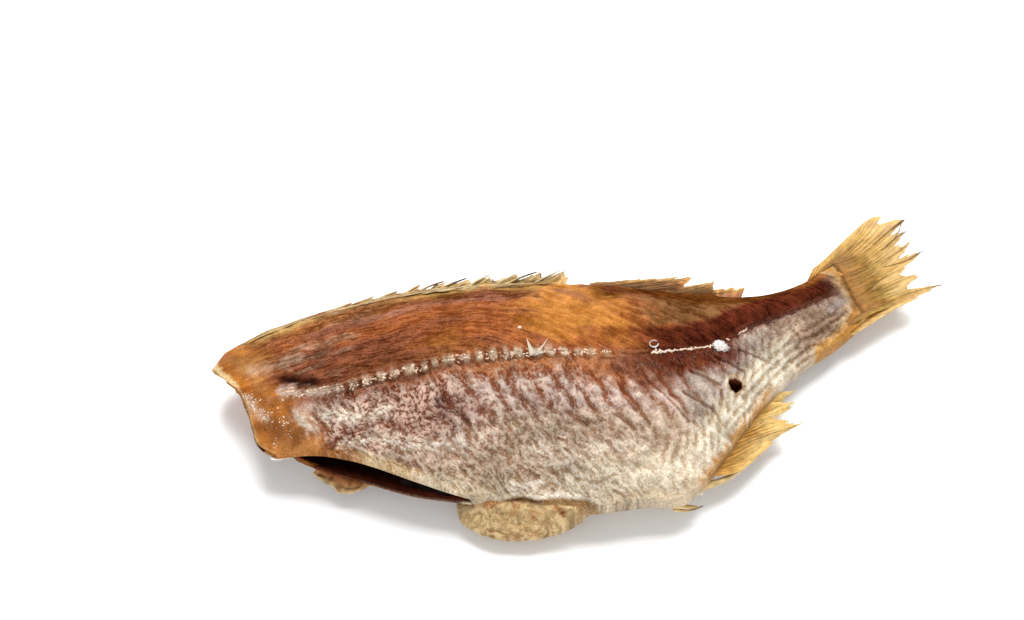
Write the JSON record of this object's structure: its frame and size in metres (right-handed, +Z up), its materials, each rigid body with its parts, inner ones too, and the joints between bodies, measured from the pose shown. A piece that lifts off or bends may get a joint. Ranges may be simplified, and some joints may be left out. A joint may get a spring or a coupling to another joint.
{
  "type": "dried redfish",
  "caption": "Whole dried fish without its head, gutted through a belly slit, with dried ragged fins and a small hanging hole near the tail; it lies flat on one flank.",
  "frame": {"origin": "under the middle of the bounding box, on the surface that the fish lies on", "axes": "+X along the fish towards the tail, +Y towards the back, +Z up through the flank that shows"},
  "size_m": [0.2504, 0.1036, 0.0308],
  "materials": {
    "skin": "dried fish skin, glossy in places",
    "fins": "dried fin membrane and rays, amber and translucent"
  },
  "bodies": {
    "root": {"dried_fish": "skin"}
  },
  "joints": []
}
